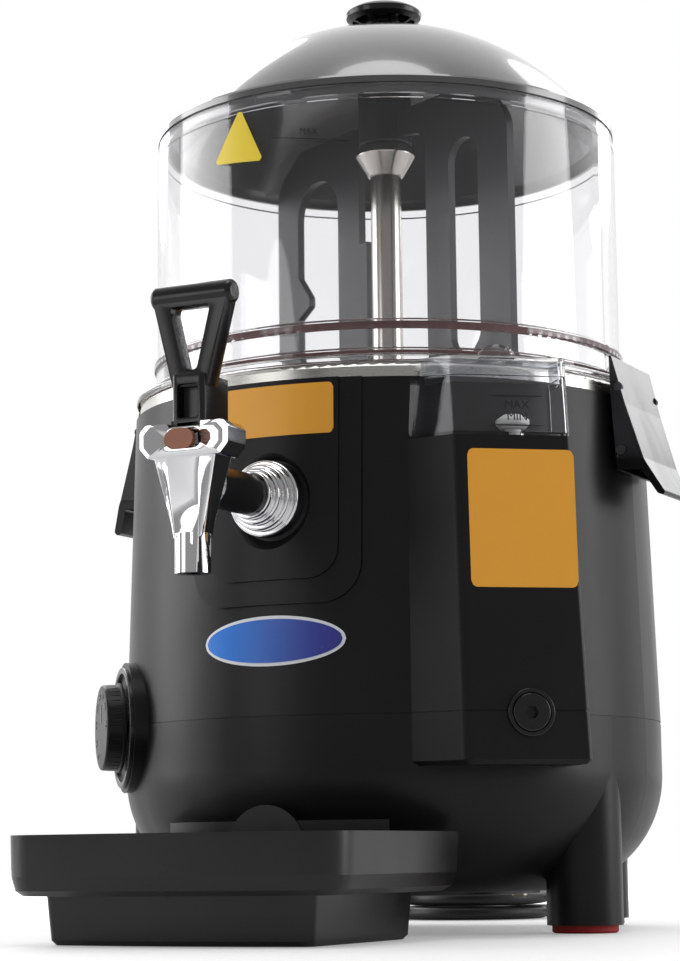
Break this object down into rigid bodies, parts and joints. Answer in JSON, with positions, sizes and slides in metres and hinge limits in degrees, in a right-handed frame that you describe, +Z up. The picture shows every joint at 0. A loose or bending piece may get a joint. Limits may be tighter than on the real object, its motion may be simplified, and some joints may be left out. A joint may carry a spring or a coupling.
{
  "type": "hot chocolate dispenser machine",
  "caption": "Counter-top hot chocolate dispenser: tapered black body on legs, clear mixing bowl with domed lid, lever tap over a drip tray, level column and dial.",
  "frame": {"origin": "on the bowl's axis, at the surface that the legs stand on", "axes": "+Z up along the bowl's axis, -Y towards the tap, +X towards the right-hand grip handle"},
  "size_m": [0.298, 0.4834, 0.465],
  "materials": {
    "housing_plastic": "fine satin grain",
    "foot_rubber": "matte",
    "steel": "satin",
    "chrome": "polished",
    "bowl_clear": "polished",
    "seal_brown": "satin",
    "lid_smoky": "polished",
    "black_gloss": "satin gloss",
    "agitator_black": "satin",
    "box_clear": "polished",
    "float_white": "satin",
    "bush_plastic": "satin",
    "bung_silicone": "satin",
    "motor_paint": "satin",
    "gear_metal": "cast",
    "zinc_steel": "plated",
    "cord_rubber": "matte",
    "plug_plastic": "satin"
  },
  "bodies": {
    "machine": {"lower_housing": "housing_plastic", "upper_housing": "housing_plastic", "base_plate": "zinc_steel", "base_screws": "zinc_steel", "foot_pads": "foot_rubber", "food_tank": "steel", "water_jacket": "steel", "heater_ring": "steel", "centre_tube": "steel", "tube_flare": "steel", "shaft_bush": "bush_plastic", "motor": "motor_paint", "gearbox": "gear_metal", "motor_frame": "zinc_steel", "tap_pipe": "black_gloss", "tap_collar": "chrome", "tank_washer": "bung_silicone", "tap_body": "chrome", "tap_bung": "bung_silicone", "lever_pin": "steel", "water_box": "box_clear", "drain_pipe": "steel", "drain_boss": "black_gloss", "dial_bezel": "black_gloss", "thermostat": "motor_paint", "right_handle": "black_gloss", "left_handle": "black_gloss", "handle_screws": "zinc_steel", "cord_gland": "black_gloss", "cord_run": "cord_rubber", "cord_coil": "cord_rubber", "plug": "plug_plastic"},
    "mixer": {"agitator": "agitator_black", "drive_shaft": "steel"},
    "bowl": {"bowl": "bowl_clear", "bowl_seals": "seal_brown"},
    "lid": {"lid": "lid_smoky", "lid_knob": "black_gloss", "lid_screw": "zinc_steel"},
    "tap_lever": {"tap_lever": "black_gloss"},
    "tap_plunger": {"tap_plunger": "steel", "tap_stopper": "bung_silicone", "tap_spring": "steel"},
    "dial": {"dial_knob": "black_gloss"},
    "box_cover": {"box_cover": "black_gloss"},
    "level_float": {"level_float": "float_white"},
    "tray": {"drip_tray": "black_gloss"},
    "grille": {"tray_grille": "black_gloss"},
    "drain_cap": {"drain_cap": "chrome"}
  },
  "joints": [
    {"name": "bowl_lift", "type": "slide", "parent": "machine", "child": "bowl", "axis": [0, 0, 1], "range_m": [0, 0.19]},
    {"name": "lid_lift", "type": "slide", "parent": "bowl", "child": "lid", "axis": [0, 0, 1], "range_m": [0, 0.15]},
    {"name": "mixer_spin", "type": "hinge", "parent": "machine", "child": "mixer", "pos_m": [0, 0, 0.3], "axis": [0, 0, 1], "continuous": true},
    {"name": "lever_pull", "type": "hinge", "parent": "machine", "child": "tap_lever", "pos_m": [0, -0.202, 0.2166], "axis": [1, 0, 0], "range_deg": [0, 35], "stiffness_Nm_per_rad": 0.15, "springref_deg": -34.38},
    {"name": "plunger_lift", "type": "slide", "parent": "machine", "child": "tap_plunger", "axis": [0, 0, 1], "range_m": [0, 0.0041], "deforming": ["tap_spring"]},
    {"name": "dial_turn", "type": "hinge", "parent": "machine", "child": "dial", "pos_m": [-0.10725, -0.08999, 0.0975], "axis": [0.766, 0.6428, 0], "range_deg": [0, 270]},
    {"name": "cover_lift", "type": "slide", "parent": "machine", "child": "box_cover", "axis": [0, 0, 1], "range_m": [0, 0.04]},
    {"name": "float_rise", "type": "slide", "parent": "machine", "child": "level_float", "axis": [0, 0, 1], "range_m": [-0.002, 0.012]},
    {"name": "tray_pull", "type": "slide", "parent": "machine", "child": "tray", "axis": [0, -1, 0], "range_m": [0, 0.12]},
    {"name": "grille_lift", "type": "slide", "parent": "tray", "child": "grille", "axis": [0, 0, 1], "range_m": [0, 0.012]},
    {"name": "drain_cap_out", "type": "slide", "parent": "machine", "child": "drain_cap", "axis": [0.6088, -0.7934, 0], "range_m": [0, 0.025]}
  ],
  "couplings": [
    {"joint": "plunger_lift", "follows": "lever_pull", "m_per_rad": 0.00655}
  ]
}
